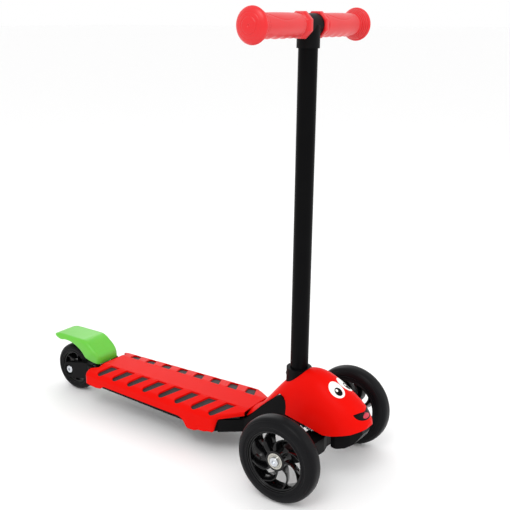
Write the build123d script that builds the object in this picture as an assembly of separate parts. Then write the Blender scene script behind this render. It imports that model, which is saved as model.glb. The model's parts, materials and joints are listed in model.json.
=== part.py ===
from build123d import *
import os
from math import cos, degrees, pi, radians, sin, sqrt

# ---------------------------------------------------------------------------------------------
# Child's three-wheel kick scooter, lean-to-steer.  Millimetres, +Z up, front towards -Y.
# Everything is drawn with the front axle over Y = 0 and is moved at the end, so that the origin
# is on the floor under the middle of the whole scooter.
# ---------------------------------------------------------------------------------------------

# overall sizes
wheelbase = 476.0
track = 196.0                 # between the middle planes of the two front wheels
nose_overhang = 80.0          # front axle to the tip of the snout
tail_overhang = 41.0          # rear axle to the tail of the fender
bar_height = 605.2            # axis of the handlebar above the floor
bar_width = 258.0             # over the two grip caps
deck_top = 71.0

# wheels
front_wheel_d = 120.0
front_tyre_w = 26.0
front_rim_r = 42.4            # edge of the tyre as seen from the side
rear_wheel_d = 80.0
rear_tyre_w = 24.0
rear_rim_r = 28.0
rim_depth = 4.2
hub_r = 14.0
hub_half = 9.2
spoke_count = 8
rear_spoke_count = 6
spoke_t = 3.6

# 608 ball bearing and its M8 axle bolt
bearing_r = 11.0
bearing_bore_r = 4.0
bearing_w = 7.0
race_t = 1.9
ball_r = 1.9
ball_count = 7
axle_r = 3.96
axle_head_r = 6.6
axle_head_h = 3.6
socket_r = 2.9                # hexagon socket, over its corners
nut_r = 7.4                   # over the corners
nut_h = 6.5
washer_t = 1.5

# steering head
column_y = 32.3               # column axis at the height of the T-bar socket
column_lean = 0.8             # degrees, towards the front
lean_z = 110.0
column_r = 12.5
column_wall = 1.6
column_bottom = 76.0
collar_r = 17.6
collar_top = 147.0
king_y = -14.0                # point of the inclined steering axis in the truck beam
king_z = 61.0
king_tilt = 35.0              # from vertical, the top leans forward
king_head_h = 5.3
truck_boss_r = 13.0
truck_boss_low = -9.0         # along the steering axis, from the point above
truck_boss_high = 10.0
pivot_block_high = 33.0
bush_wall = 2.0
arm_end_gap = 1.0             # arm end to the inner side of the tyre
spring_x = 19.0
spring_coil_r = 4.6
spring_wire_r = 0.8
spring_turns = 5
spring_low = 10.0             # seats of the centring springs, away from the steering axis
spring_high = 24.0

# deck
deck_rear = 407.0             # rear corners of the tread
deck_rear_mid = 395.0         # its rear edge in front of the brake
deck_front = 104.0
shoulder_y = 137.0            # where the deck starts to narrow to the neck
rear_half = 51.5
front_half = 59.5
neck_half = 31.0
neck_wall = 7.0
cover_wall = 2.5
part_gap = 0.4                # between moulded pieces of the body
crown_half = 21.5             # flat middle band of the tread
shoulder_drop = 6.5           # the tread falls by this much from the band to the rounded edge
edge_round = 7.0
slot_count = 8
slot_pitch = 33.4
slot_first_y = 375.5
slot_inner_w = 17.9
slot_outer_w = 14.0
slot_slant = 24.0
slot_margin = 4.0             # slot end to the side of the deck
mat_t = 3.0
mat_gap = 0.3
plate_t = 3.0
frame_wall = 3.5
frame_low_rear = 44.0
frame_low_front = 37.5
screw_r = 2.0
screw_head_r = 3.6
screw_head_h = 2.6
screw_boss_r = 4.2
screw_length = 6.0

# rear fork and brake
fork_gap = 2.5                # tyre side to fork arm
fork_t = 9.0
fork_end_r = 13.0
brake_pin_y = 414.0
brake_pin_z = 60.0
brake_pin_r = 3.0
knuckle_r = 6.0
ear_r = 5.5
fender_half = 25.0
fender_wall = 3.2
fender_clear = 14.0           # over the rear tyre
fender_top = 101.5
brake_plate_t = 2.0
brake_screw_head_r = 3.1
brake_screw_head_h = 1.15      # sunk in the plate
brake_gap = 5.5               # brake plate to tyre at rest

# handlebar
bar_r = 11.1
bar_wall = 1.6
tee_half = 14.5
tee_r = 14.0
grip_r = 14.2
inner_flange_r = 15.8
inner_flange_t = 4.5
outer_flange_r = 21.9
grip_end_t = 6.0              # rubber beyond the end of the tube

# release button of the T-bar
button_z = 134.0
button_r = 4.0
button_proud = 2.2
button_flange_r = 5.4
button_flange_t = 2.0

fit = 0.04                    # radial clearance of a pin, a bearing seat or a socket
clear = 0.5                   # room between pieces that move past each other

front_axle_z = front_wheel_d / 2
rear_axle_z = rear_wheel_d / 2
front_axle_y = nose_overhang - (nose_overhang + wheelbase + tail_overhang) / 2
SIDES = (-1, 1)


# ------------------------------------------------------------------------------------ helpers
def rod_x(x0, x1, r, y=0.0, z=0.0):
    """Cylinder along X."""
    return Pos((x0 + x1) / 2, y, z) * Rot(0, 90, 0) * Cylinder(r, abs(x1 - x0))


def ring_x(x0, x1, r_out, r_in, y=0.0, z=0.0):
    return rod_x(x0, x1, r_out, y, z) - rod_x(min(x0, x1) - 1, max(x0, x1) + 1, r_in, y, z)


def rod_z(z0, z1, r, x=0.0, y=0.0):
    """Cylinder along Z."""
    return Pos(x, y, (z0 + z1) / 2) * Cylinder(r, z1 - z0)


def block(x0, x1, y0, y1, z0, z1):
    return Pos((x0 + x1) / 2, (y0 + y1) / 2, (z0 + z1) / 2) * Box(x1 - x0, y1 - y0, z1 - z0)


def side_plate(points, half_from, half_to=None):
    """Prism with an outline in the Y-Z plane, from x = half_from to half_to."""
    low, high = (-half_from, half_from) if half_to is None else (half_from, half_to)
    outline = make_face(Polyline(*points, close=True))
    return Plane.YZ.offset(low) * extrude(outline, high - low)


def top_plate(points, z0, z1):
    """Prism with an outline in the X-Y plane."""
    return Pos(0, 0, z0) * extrude(make_face(Polyline(*points, close=True)), z1 - z0)


def turned_x(points):
    """Body of revolution about the X axis from (x, radius) points."""
    return revolve(make_face(Polyline(*points, close=True)), Axis.X)


def polar(r, angle):
    return (r * cos(radians(angle)), r * sin(radians(angle)))


def hexagon(r, height):
    return extrude(RegularPolygon(r, 6), height)


def coil(radius, wire, height, turns):
    """Helical compression spring standing on the X-Y plane, measured over its wire."""
    path = Helix((height - 2 * wire) / turns, height - 2 * wire, radius)
    start = Plane(origin=path @ 0, z_dir=path % 0)
    return Pos(0, 0, wire) * sweep(start * Circle(wire), path=path, is_frenet=True)


def stem(piece):
    """Leans a piece of the T-bar or its socket with the column."""
    return Pos(0, column_y, lean_z) * Rot(column_lean, 0, 0) * Pos(0, -column_y, -lean_z) * piece


def king(t):
    """Place on the inclined steering axis, with local Z along it."""
    return Pos(0, king_y, king_z) * Rot(king_tilt, 0, 0) * Pos(0, 0, t)


def on_king(low, high, r, inner=0.0):
    body = Cylinder(r, high - low)
    if inner:
        body -= Cylinder(inner, high - low + 2)
    return king((low + high) / 2) * body


# -------------------------------------------------------------------------------------- wheels
def spoke(r_from, r_to, width):
    """One curved blade of the wheel, drawn in a plane and pushed out to the wheel's width."""
    edges = []
    for spread in (1, -1):
        r_mid = (r_from + r_to) / 2
        half = degrees(spoke_t / 2 / r_mid) * spread
        edges.append(ThreePointArc(
            polar(r_from, degrees(spoke_t / 2 / r_from) * spread),
            polar(r_mid, -9 + half),
            polar(r_to, -30 + degrees(spoke_t / 2 / r_to) * spread)))
    outline = make_face([edges[0], Line(edges[0] @ 1, edges[1] @ 1), edges[1],
                         Line(edges[1] @ 0, edges[0] @ 0)])
    blade = extrude(outline, width)
    return Pos(-width / 2, 0, 0) * Rot(90, 0, 90) * blade


def wheel_core(rim_r, tyre_w, count):
    """Hub, spokes and rim in one moulding, about the X axis."""
    rim_half = tyre_w / 2 - 2.0
    core = ring_x(-rim_half, rim_half, rim_r, rim_r - rim_depth)
    core += rod_x(-hub_half, hub_half, hub_r)
    for i in range(count):
        core += Rot(360 / count * i, 0, 0) * spoke(hub_r - 1, rim_r - rim_depth + 1, tyre_w - 9)
    rib_half = hub_half - bearing_w
    core -= rod_x(-hub_half - 1, hub_half + 1, bearing_bore_r + race_t + 2)
    for side in SIDES:
        core -= rod_x(side * rib_half, side * (hub_half + 1), bearing_r + fit)
    return core


def tyre(wheel_r, rim_r, tyre_w):
    """Cast tyre with a rounded tread and a raised step beside the rim."""
    half = tyre_w / 2
    shoulder = rim_r + (wheel_r - rim_r) * 0.38
    tread = make_face([
        Line((-half, rim_r + fit), (half, rim_r + fit)),
        Line((half, rim_r + fit), (half, shoulder)),
        Spline((half, shoulder), (half * 0.74, wheel_r - 3.4), (0, wheel_r),
               (-half * 0.74, wheel_r - 3.4), (-half, shoulder),
               tangents=((0, 1), (0, -1))),
        Line((-half, shoulder), (-half, rim_r + fit)),
    ])
    body = revolve(tread, Axis.X)
    for side in SIDES:
        face = side * half
        body -= ring_x(face - side * 0.9, face + side, rim_r + (wheel_r - rim_r) * 0.3, rim_r + 1.6)
    return body


def bearing_outers():
    """Two outer rings and their balls, at the two ends of the hub."""
    pieces = []
    for side in SIDES:
        middle = side * (hub_half - bearing_w / 2)
        outer = ring_x(middle - bearing_w / 2, middle + bearing_w / 2, bearing_r, bearing_r - race_t)
        pitch_r = (bearing_bore_r + bearing_r) / 2
        groove = Pos(middle, 0, 0) * Rot(0, 90, 0) * Torus(pitch_r, ball_r + fit)
        pieces.append(outer - groove)
        for i in range(ball_count):
            y, z = polar(pitch_r, 360 / ball_count * i)
            pieces.append(Pos(middle, y, z) * Sphere(ball_r))
    return pieces


def bearing_inners():
    """Two inner rings, which stay with the axle."""
    pieces = []
    for side in SIDES:
        middle = side * (hub_half - bearing_w / 2)
        inner = ring_x(middle - bearing_w / 2, middle + bearing_w / 2,
                       bearing_bore_r + race_t, bearing_bore_r)
        pitch_r = (bearing_bore_r + bearing_r) / 2
        groove = Pos(middle, 0, 0) * Rot(0, 90, 0) * Torus(pitch_r, ball_r + 2 * fit)
        pieces.append(inner - groove)
    return pieces


def hub_spacer():
    gap = hub_half - bearing_w
    return ring_x(-gap, gap, axle_r + 1.8, axle_r + fit)


def socket_bolt(length, head_r=axle_head_r, head_h=axle_head_h, r=axle_r):
    """Hexagon socket bolt: head above the X-Y plane, shank below it."""
    bolt = rod_z(0, head_h, head_r)
    bolt = fillet(bolt.edges().filter_by(GeomType.CIRCLE).sort_by(Axis.Z)[-1], head_h * 0.4)
    bolt -= Pos(0, 0, head_h - 2.4) * hexagon(socket_r, 3)
    return bolt + rod_z(-length, 0, r)


def hex_nut(r=nut_r, h=nut_h, bore=axle_r + fit):
    return hexagon(r, h) - rod_z(-1, h + 1, bore)


def wheel_place(side):
    """Places a wheel turned towards its own side, so that both are the same piece."""
    return Pos(side * track / 2, 0, front_axle_z) * (Rot(0, 0, 180) if side < 0 else Rot(0, 0, 0))


def front_wheel_nodes():
    nodes = {}
    for side, name in ((-1, "right"), (1, "left")):
        place = wheel_place(side)
        core = wheel_core(front_rim_r, front_tyre_w, spoke_count)
        nodes[name + "_wheel_core"] = [place * core]
        nodes[name + "_tyre"] = [place * tyre(front_wheel_d / 2, front_rim_r, front_tyre_w)]
        nodes[name + "_bearing_races"] = [place * p for p in bearing_outers()]
    return nodes


def rear_wheel_nodes():
    place = Pos(0, wheelbase, rear_axle_z)
    return {
        "rear_wheel_core": [place * wheel_core(rear_rim_r, rear_tyre_w, rear_spoke_count)],
        "rear_tyre": [place * tyre(rear_wheel_d / 2, rear_rim_r, rear_tyre_w)],
        "rear_bearing_races": [place * p for p in bearing_outers()],
        "rear_bearing_inner_rings": [place * p for p in bearing_inners()],
    }


# --------------------------------------------------------------------------------------- truck
arm_end = track / 2 - front_tyre_w / 2 - arm_end_gap
arm_nut_x = arm_end - 20.0
spacer_end = track / 2 - hub_half


def axle_carrier():
    """Cross beam that turns about the inclined steering axis and carries both front wheels."""
    beam_low, beam_high = king_z - 11, king_z + 9
    beam = Pos(0, king_y, (beam_low + beam_high) / 2) * Box(2 * spring_x + 16, 24, beam_high - beam_low)
    arm_outline = [(-spring_x, king_y - 12), (-spring_x - 12, king_y - 15), (-arm_end + 24, -27),
                   (-arm_end, -11), (-arm_end, 11), (-arm_end + 16, 9), (-spring_x, king_y + 12)]
    arm = top_plate(arm_outline, front_axle_z - 11, front_axle_z + 10)
    arm = fillet(arm.edges().filter_by(Axis.Z).group_by(Axis.X)[0], 4)
    boss = rod_x(-arm_end, -arm_end + 24, 11, 0, front_axle_z)
    beam += arm + boss
    beam += mirror(arm + boss, Plane.YZ)
    beam += on_king(truck_boss_low, truck_boss_high, truck_boss_r)
    for side in SIDES:
        pad = spring_frame(side, spring_low - 7, spring_low) * Cylinder(spring_coil_r + 3, 7)
        beam += pad
    # room above and below the pivot, bush bore, axle bolt holes and nut pockets
    beam -= on_king(truck_boss_high, truck_boss_high + 30, truck_boss_r + 3)
    beam -= on_king(truck_boss_low - 30, truck_boss_low, truck_boss_r + 3)
    beam -= on_king(truck_boss_low - 1, truck_boss_high + 1, axle_r + bush_wall + fit)
    for side in SIDES:
        beam -= spring_frame(side, spring_low - 1.5, spring_low + 30) * \
            Cylinder(spring_coil_r + spring_wire_r + 0.4, 31.5)
        beam -= rod_x(side * (arm_nut_x - 12), side * (arm_end + 1), axle_r + fit, 0, front_axle_z)
        nut_mid = arm_nut_x + nut_h / 2
        beam -= Pos(side * nut_mid, 0, front_axle_z - 5.5) * Box(nut_h + 0.4, nut_r * 1.76, 27)
    return beam


def spring_frame(side, low, high):
    """Middle of a stretch of a centring spring's axis, which stands square to the steering axis."""
    return king(0) * Rot(-90, 0, 0) * Pos(side * spring_x, 0, (low + high) / 2)


def truck_nodes():
    nodes = {"axle_carrier": [axle_carrier()]}
    split = (truck_boss_low + truck_boss_high) / 2
    nodes["pivot_bushes"] = [
        on_king(truck_boss_low, split - clear, axle_r + bush_wall, axle_r + fit),
        on_king(split + clear, truck_boss_high, axle_r + bush_wall, axle_r + fit)]
    bolts, nuts, spacers, inners = [], [], [], []
    for side in SIDES:
        seat = Pos(side * (track / 2 + hub_half), 0, front_axle_z) * Rot(0, 90 * side, 0)
        bolts.append(seat * socket_bolt(track / 2 + hub_half - arm_nut_x + 3))
        nut_at = Pos(side * arm_nut_x, 0, front_axle_z) * Rot(0, 90 * side, 0)
        nuts.append(nut_at * hex_nut())
        spacers.append(ring_x(side * arm_end, side * spacer_end, axle_r + 2.2, axle_r + fit,
                              0, front_axle_z))
        spacers.append(wheel_place(side) * hub_spacer())
        inners += [wheel_place(side) * piece for piece in bearing_inners()]
    nodes["front_axle_bolts"] = bolts
    nodes["front_axle_nuts"] = nuts
    nodes["front_spacers"] = spacers
    nodes["front_bearing_inner_rings"] = inners
    return nodes


# ------------------------------------------------------------------------------ body mouldings
def half_at(y):
    """Half width of the deck at a place along it."""
    share = (deck_rear - y) / (deck_rear - shoulder_y)
    return rear_half + (front_half - rear_half) * share


def deck_section(y, inset, low):
    """Cross-section of the tread: flat band, sloping shoulders, rounded edges, upright sides."""
    half = half_at(y) - inset
    top = deck_top - inset
    edge_z = deck_top - shoulder_drop - inset
    right = [Line((half, low), (half, edge_z - edge_round)),
             ThreePointArc((half, edge_z - edge_round),
                           (half - edge_round * 0.27, edge_z - edge_round * 0.3),
                           (half - edge_round, edge_z)),
             Line((half - edge_round, edge_z), (crown_half, top))]
    left = [mirror(e, Plane.YZ) for e in right]
    outline = right + [Line((crown_half, top), (-crown_half, top))] + left
    outline.append(Line((-half, low), (half, low)))
    return Plane.XZ.offset(-y) * make_face(outline)


def deck_plan(inset, low, high):
    """Plan of the deck: straight sides, diagonal shoulders and a narrow front."""
    rear, front = deck_rear - inset, deck_front + inset
    outline = []
    for side in SIDES:
        points = [(side * (rear_half - 20 + inset), deck_rear_mid - inset),
                  (side * (rear_half - 11), rear - 3), (side * (rear_half - inset - 4), rear),
                  (side * (half_at(rear) - inset), rear - 5),
                  (side * (half_at(shoulder_y) - inset), shoulder_y + 4 + inset),
                  (side * (half_at(shoulder_y) - inset - 7), shoulder_y - 3 + inset),
                  (side * (neck_half - inset), front)]
        outline += points if side > 0 else points[::-1]
    return top_plate(outline[::-1], low, high)


def deck_block(inset, low):
    body = loft([deck_section(deck_rear + 5, inset, low), deck_section(deck_front - 5, inset, low)])
    return body & deck_plan(inset, low - 1, deck_top + 1)


# lower edge of the red cover seen from the side, with a skirt lug near each end
skirt_edge = [(deck_rear + 6, 45.0), (396, 42.5), (383, 41.5), (372, 43.0), (366, 48.0), (205, 45.5),
              (196, 41.0), (192, 33.5), (189, 31.0), (176, 31.0), (168, 34.5), (158, 35.0),
              (149, 38.0), (shoulder_y + 1, 38.5), (shoulder_y - 1, 58.0), (deck_front - 6, 64.5)]


def slot_outline(index, side):
    """A slot runs outwards and back from the flat band, and is rounded at its outer end."""
    rear = slot_first_y - slot_pitch * index
    middle = rear - slot_inner_w / 2
    length = half_at(middle) - slot_margin - crown_half
    shift = length * sin(radians(slot_slant))
    outer = half_at(middle) - slot_margin - slot_outer_w / 2
    outer_mid = middle + shift
    points = [(side * crown_half, rear), (side * crown_half, rear - slot_inner_w),
              (side * outer, outer_mid - slot_outer_w / 2), (side * outer, outer_mid + slot_outer_w / 2)]
    face = make_face(Polyline(*points, close=True))
    face += Pos(side * outer, outer_mid) * Circle(slot_outer_w / 2)
    return face


def screw_spots():
    return [(side * crown_half * 0.55, y) for side in SIDES
            for y in (deck_front + 42, deck_front + 118, deck_front + 194, deck_front + 270)]


mat_top = deck_top - cover_wall - part_gap
mat_low = mat_top - mat_t
frame_plate_top = mat_low - mat_gap
screw_seat_z = frame_plate_top - plate_t


def deck_cover():
    body = deck_block(0, 28.0) - deck_block(cover_wall, 20.0)
    band = skirt_edge + [(deck_front - 6, deck_top + 5), (deck_rear + 6, deck_top + 5)]
    body &= side_plate(band, front_half + 5)
    slots = [Pos(0, 0, deck_top - 22) * extrude(slot_outline(i, side), 30)
             for i in range(slot_count) for side in SIDES]
    body -= slots
    # the rear fork and the neck leave the cover through its end walls
    body -= block(-42, 42, deck_rear_mid - 12, deck_rear + 10, 20, frame_plate_top - plate_t)
    for x, y in screw_spots():
        body += rod_z(frame_plate_top + part_gap, deck_top - 1, screw_boss_r, x, y)
        body -= rod_z(frame_plate_top - 1, screw_seat_z + screw_length + 0.5, screw_r, x, y)
    return body


def tread_block(drop, low):
    """Space under the tread, this far below its surface, cut level at low."""
    return deck_block(drop, low - 3) & block(-100, 100, deck_front - 10, deck_rear + 10, low, 100)


def grip_mat():
    """Rubber sheet under the slotted cover, following its shoulders."""
    body = tread_block(cover_wall + part_gap, mat_low - shoulder_drop - 1)
    body &= block(-100, 100, deck_front + 8, deck_rear_mid - 7, 0, 100)
    body -= tread_block(cover_wall + part_gap + mat_t, 20.0)
    for x, y in screw_spots():
        body -= rod_z(mat_low - 5, mat_top + 5, screw_boss_r + part_gap, x, y)
    return body


frame_side = [(deck_rear, frame_low_rear), (shoulder_y, frame_low_front + 0.5),
              (deck_front - 1, frame_low_front + 1), (deck_front - 1, 80.0), (deck_rear, 80.0)]

# the neck from the side: underside, front of the cheeks, their round top, and the ridge line
cheek_line = [(112.0, 59.0), (103.0, 59.5), (96.0, 65.5), (82.0, 79.8), (69.0, 92.0), (58.6, 101.0),
              (50.0, 109.0), (45.3, 110.9), (39.0, 109.5), (34.5, 105.0), (32.7, 98.0), (32.7, 74.0)]
neck_under = [(46.0, 66.0), (70.0, 56.0), (100.0, 38.5), (112.0, 38.5)]
neck_hollow = [(120, 40), (106, 40), (72, 60), (28, 70), (28, 130), (120, 130)]
neck_core = [(112, 60), (100, 62), (78, 76), (60, 93), (48, 103), (20, 103),
             (20, 66), (46, 66), (70, 56), (100, 38.5), (112, 38.5)]
neck_floor = [(112, 38.5), (100, 38.5), (70, 56), (46, 66), (33, 70), (33, 80), (50, 80),
              (76, 70), (112, 55)]


def frame_pan():
    """Ribbed tray under the deck."""
    drop = cover_wall + part_gap + mat_t + mat_gap
    skin = cover_wall + part_gap
    upper = tread_block(drop, 20.0)
    lower = deck_block(skin, 20.0) & block(-100, 100, deck_front - 1, deck_rear, 20, 52)
    # the diagonal shoulders in front of the cover's skirt stand flush with it
    shoulder = deck_block(part_gap, 20.0) & block(-100, 100, deck_front - 1, shoulder_y - 1.5, 20, 57.0)
    pan = (upper + lower + shoulder) & side_plate(frame_side, front_half)
    hollow = tread_block(drop + plate_t, 10.0) & deck_plan(skin + frame_wall, 10, 80)
    pan -= hollow
    ribs = [block(side * 24 - 1.25, side * 24 + 1.25, deck_front + 2, deck_rear - 5,
                  frame_low_rear + 1, frame_plate_top - 2) for side in SIDES]
    ribs += [block(-front_half, front_half, y - 1.25, y + 1.25, frame_low_rear + 1, frame_plate_top - 2)
             for y in (150, 188, 226, 264, 302, 340, 378)]
    inside = tread_block(drop + 0.5, 10.0) & deck_plan(skin + 1, 10, 80)
    for rib in ribs:
        pan += rib & inside
    return pan


def neck():
    """Hollow neck between the deck and the T-bar socket, with a cheek on each side."""
    body = side_plate(cheek_line + neck_under, neck_half - 0.3)
    body -= side_plate(neck_hollow, neck_half - neck_wall)
    body += side_plate(neck_core, neck_half - neck_wall - cover_wall)
    return body + side_plate(neck_floor, neck_half - 0.5)


def base_frame():
    """Black chassis: tray, neck with its cheeks, T-bar socket, pivot block and rear fork."""
    frame = frame_pan()
    frame += neck()
    # plate inside the snout, socket and pivot block
    frame += head_plate()
    frame += stem(rod_z(66, collar_top, collar_r, 0, column_y))
    frame += on_king(truck_boss_high + washer_t, pivot_block_high, truck_boss_r)
    for side in SIDES:
        frame += spring_frame(side, spring_high, spring_high + 6) * Cylinder(spring_coil_r + 3, 6)
        frame += block(side * spring_x - 3, side * spring_x + 3, 4, 24, 76, 86)
    # rear fork
    frame += rear_fork()
    # bores
    frame -= stem(rod_z(column_bottom, collar_top + 1, column_r + fit, 0, column_y))
    button_hole = Pos(0, column_y + collar_r, button_z) * Rot(90, 0, 0) * Cylinder(button_r + 0.2, 16)
    frame -= stem(button_hole)
    frame -= on_king(-2, pivot_block_high + 1, axle_r + fit)
    frame -= king(pivot_block_high - nut_h) * hexagon(nut_r + 0.1, nut_h + 20)
    for side in SIDES:
        frame -= spring_frame(side, spring_high - 1, spring_high + 1.5) * \
            Cylinder(spring_coil_r + spring_wire_r + 0.4, 2.5)
    for x, y in screw_spots():
        frame -= rod_z(30, frame_plate_top + 1, screw_r + 0.2, x, y)
        frame -= rod_z(30, screw_seat_z, screw_head_r + 0.3, x, y)
    for x, y, _ in snout_screws():
        frame -= rod_z(60, 120, screw_r + 0.2, x, y)
    return frame


plate_z = 84.0
snout_plate = [(-27, 28), (-33, 0), (-32, -35), (-24, -58), (-8, -68), (8, -68), (24, -58),
               (32, -35), (33, 0), (27, 28)]


def head_plate():
    return top_plate(snout_plate, plate_z, plate_z + 3.5)


def snout_screws():
    """Screws that hold the snout cover down on the plate, with the height of each boss top."""
    return [(side * x, y, z) for side in SIDES for x, y, z in ((22, -42, 103), (26, 19, 103))]


def rear_fork():
    inner = rear_tyre_w / 2 + fork_gap
    outer = inner + fork_t
    start = deck_rear_mid - 22
    fork = None
    for side in SIDES:
        outline = [(start, 58), (start, 47), (wheelbase - 30, rear_axle_z - fork_end_r + 4),
                   (wheelbase - 6, rear_axle_z - fork_end_r + 1.5), (wheelbase, rear_axle_z - fork_end_r),
                   (wheelbase + 4, rear_axle_z), (wheelbase, rear_axle_z + fork_end_r),
                   (wheelbase - 34, 61), (brake_pin_y + 2, 61)]
        arm = side_plate(outline, min(side * inner, side * outer), max(side * inner, side * outer))
        arm += rod_x(side * inner, side * outer, fork_end_r, wheelbase, rear_axle_z)
        fork = arm if fork is None else fork + arm
    # platform behind the red cover, and the ears of the brake hinge
    platform = [(-40, deck_rear_mid - 16), (-40, deck_rear_mid + 14), (-outer, 430), (outer, 430),
                (40, deck_rear_mid + 14), (40, deck_rear_mid - 16)]
    fork += top_plate(platform, 47, 56.5)
    fork += top_plate(platform, 55, 60) & block(-60, 60, deck_rear_mid + 0.5, 440, 50, 61)
    fork -= block(-inner, inner, brake_pin_y - 9, 440, 40, 70)
    for side in SIDES:
        ear = rod_x(side * (inner - 0.01), side * outer, ear_r, brake_pin_y, brake_pin_z)
        fork += ear
    fork -= rod_x(-50, 50, brake_pin_r + fit, brake_pin_y, brake_pin_z)
    fork -= rod_x(-50, 50, axle_r + fit, wheelbase, rear_axle_z)
    for side in SIDES:
        fork -= rod_x(side * (outer - axle_head_h - 0.6), side * (outer + 1), nut_r + 1.2,
                      wheelbase, rear_axle_z)
    return fork


def arch(y, half, low, high, power=2.15):
    """Flat-bottomed arch across the scooter, from a superellipse."""
    points = []
    steps = 12
    for i in range(steps + 1):
        t = pi * i / steps
        x = half * abs(cos(t)) ** (2 / power) * (1 if cos(t) >= 0 else -1)
        points.append((x, low + (high - low) * sin(t) ** (2 / power) if 0 < i < steps else low))
    crown = Spline(*points)
    return Plane.XZ.offset(-y) * make_face([crown, Line(crown @ 1, crown @ 0)])


# stations of the snout: place, half width, height of the lower edge and of the ridge
snout_stations = [(-nose_overhang, 8.0, 85.0, 93.0), (-74.0, 20.0, 79.0, 105.0),
                  (-60.0, 31.0, 74.0, 119.0), (-38.0, 37.0, 72.0, 134.0),
                  (-12.0, 38.5, 72.0, 148.0), (12.0, 37.0, 72.0, 150.0),
                  (34.0, 34.0, 72.0, 140.0), (54.0, 32.5, 70.0, 121.0),
                  (76.0, 31.5, 62.0, 95.0), (95.0, 31.0, 54.0, 75.5),
                  (deck_front - part_gap, 31.0, 48.0, 70.6)]


def snout_block(inset):
    faces = [arch(y + (inset if i == 0 else 0), half - inset, low - (5 if inset else 0), high - inset)
             for i, (y, half, low, high) in enumerate(snout_stations)]
    return loft(faces)


# lower edge of the snout cover from the side
snout_edge = [(-nose_overhang - 2, 89.0), (-66.0, 83.0), (-41.0, 77.5), (-30.0, 76.5), (1.0, 84.0),
              (32.7 - part_gap, 87.5), (32.7 - part_gap, 98.0), (34.5, 105.5), (39.0, 110.0),
              (45.3, 111.5), (50.5, 109.5), (59.0, 101.5), (69.5, 92.8), (82.5, 81.0), (96.0, 67.6),
              (deck_front - part_gap, 62.0)]


def head_cover():
    """Red snout with its tail running down the neck to the deck."""
    body = snout_block(0) - snout_block(cover_wall)
    band = snout_edge + [(deck_front - part_gap, 160), (-nose_overhang - 2, 160)]
    body &= side_plate(band, 60)
    body -= stem(rod_z(60, 170, collar_r + part_gap, 0, column_y))
    inner = snout_block(1.0)
    for x, y, z in snout_screws():
        body += rod_z(plate_z + 3.5 + part_gap, z + 40, screw_boss_r, x, y) & inner
        body -= rod_z(plate_z, z, screw_r, x, y)
    return body


def chin_cover():
    """Black pan under the snout, round the front of the truck."""
    outline = [(-nose_overhang + 4, 86.0), (-76.0, 80.0), (-68.0, 67.0), (-57.0, 60.0), (-47.0, 57.5),
               (-40.0, 58.0), (-34.0, 61.0), (-34.0, 70.0), (-30.0, 75.5), (-40.0, 76.5), (-66.0, 82.0)]
    solid = side_plate(outline, 30)
    plan = top_plate([(-29, -38), (-29.5, -44), (-23, -64), (-10, -75), (10, -75), (23, -64),
                      (29.5, -44), (29, -38), (20, -32), (-20, -32)], 40, 90)
    solid &= plan
    inner = side_plate([(-73.0, 90.0), (-72.5, 81.0), (-65.5, 69.5), (-55.5, 63.0), (-47.0, 60.5),
                        (-20.0, 60.5), (-20.0, 90.0)], 26)
    inner &= top_plate([(-26, -20), (-26.5, -44), (-20.5, -62.5), (-9, -71.5), (9, -71.5),
                        (20.5, -62.5), (26.5, -44), (26, -20)], 40, 95)
    return solid - inner


# ------------------------------------------------------------------------------ brake and fender
def wheel_arc(r, angle_from, angle_to, steps):
    """Points on a circle round the rear axle, seen from the side."""
    span = angle_to - angle_from
    return [(wheelbase + polar(r, angle_from + span * i / steps)[0],
             rear_axle_z + polar(r, angle_from + span * i / steps)[1]) for i in range(steps + 1)]


def brake_fender():
    clear_r = rear_wheel_d / 2 + fender_clear
    tail = wheelbase + tail_overhang
    outer = [(404.0, 66.0), (405.0, 76.0), (410.0, 82.5), (422.0, 93.6), (429.0, 98.6),
             (436.0, fender_top), (tail - 22, fender_top), (tail - 10, 98.5), (tail - 3, 93.5),
             (tail, 89.0)]
    under = [(tail - 3, 88.0), (tail - 7, 92.5), (tail - 14, 95.5)]
    under += wheel_arc(clear_r, 76, 142, 9)
    under += [(426.0, 69.0), (418.0, 67.0), (412.0, 66.3)]
    shell = side_plate(outer + under, fender_half)
    shell = fillet(shell.edges().filter_by(Axis.X).sort_by(Axis.Y)[-1], 1.0)
    plan = top_plate([(-fender_half + 3, 400), (-fender_half, 412), (-fender_half, tail - 20),
                      (-fender_half + 3, tail - 9), (-fender_half + 8, tail - 3), (-fender_half + 15, tail),
                      (fender_half - 15, tail), (fender_half - 8, tail - 3), (fender_half - 3, tail - 9),
                      (fender_half, tail - 20), (fender_half, 412), (fender_half - 3, 400)], 50, 120)
    shell &= plan
    w = fender_wall
    hollow = [(404.0 + w, 60.0), (405.0 + w, 74.5), (412.5, 80.0), (424.0, 91.0), (430.5, 95.6),
              (437.0, fender_top - w), (tail - 22, fender_top - w), (tail - 12, 94.6),
              (tail - 9, 80.0), (440, 60)]
    shell -= side_plate(hollow, fender_half - w)
    # hinge knuckles with webs up into the shell, and the block that carries the brake plate
    inner = rear_tyre_w / 2 + fork_gap - clear
    for side in SIDES:
        a, b = side * 7.6, side * inner
        web = side_plate([(408, 60), (420, 60), (424, 90), (410, 78)], min(a, b), max(a, b))
        shell += web
        shell += rod_x(a, b, knuckle_r, brake_pin_y, brake_pin_z)
    pad_z = rear_wheel_d + brake_gap + brake_plate_t
    shell += block(-10, 10, wheelbase - 17, wheelbase + 13, pad_z, fender_top - 1)
    shell -= rod_x(-50, 50, brake_pin_r + fit, brake_pin_y, brake_pin_z)
    for y in (wheelbase - 12, wheelbase + 8):
        shell -= rod_z(pad_z - 1, pad_z + 10, screw_r, 0, y)
    return shell


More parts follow.
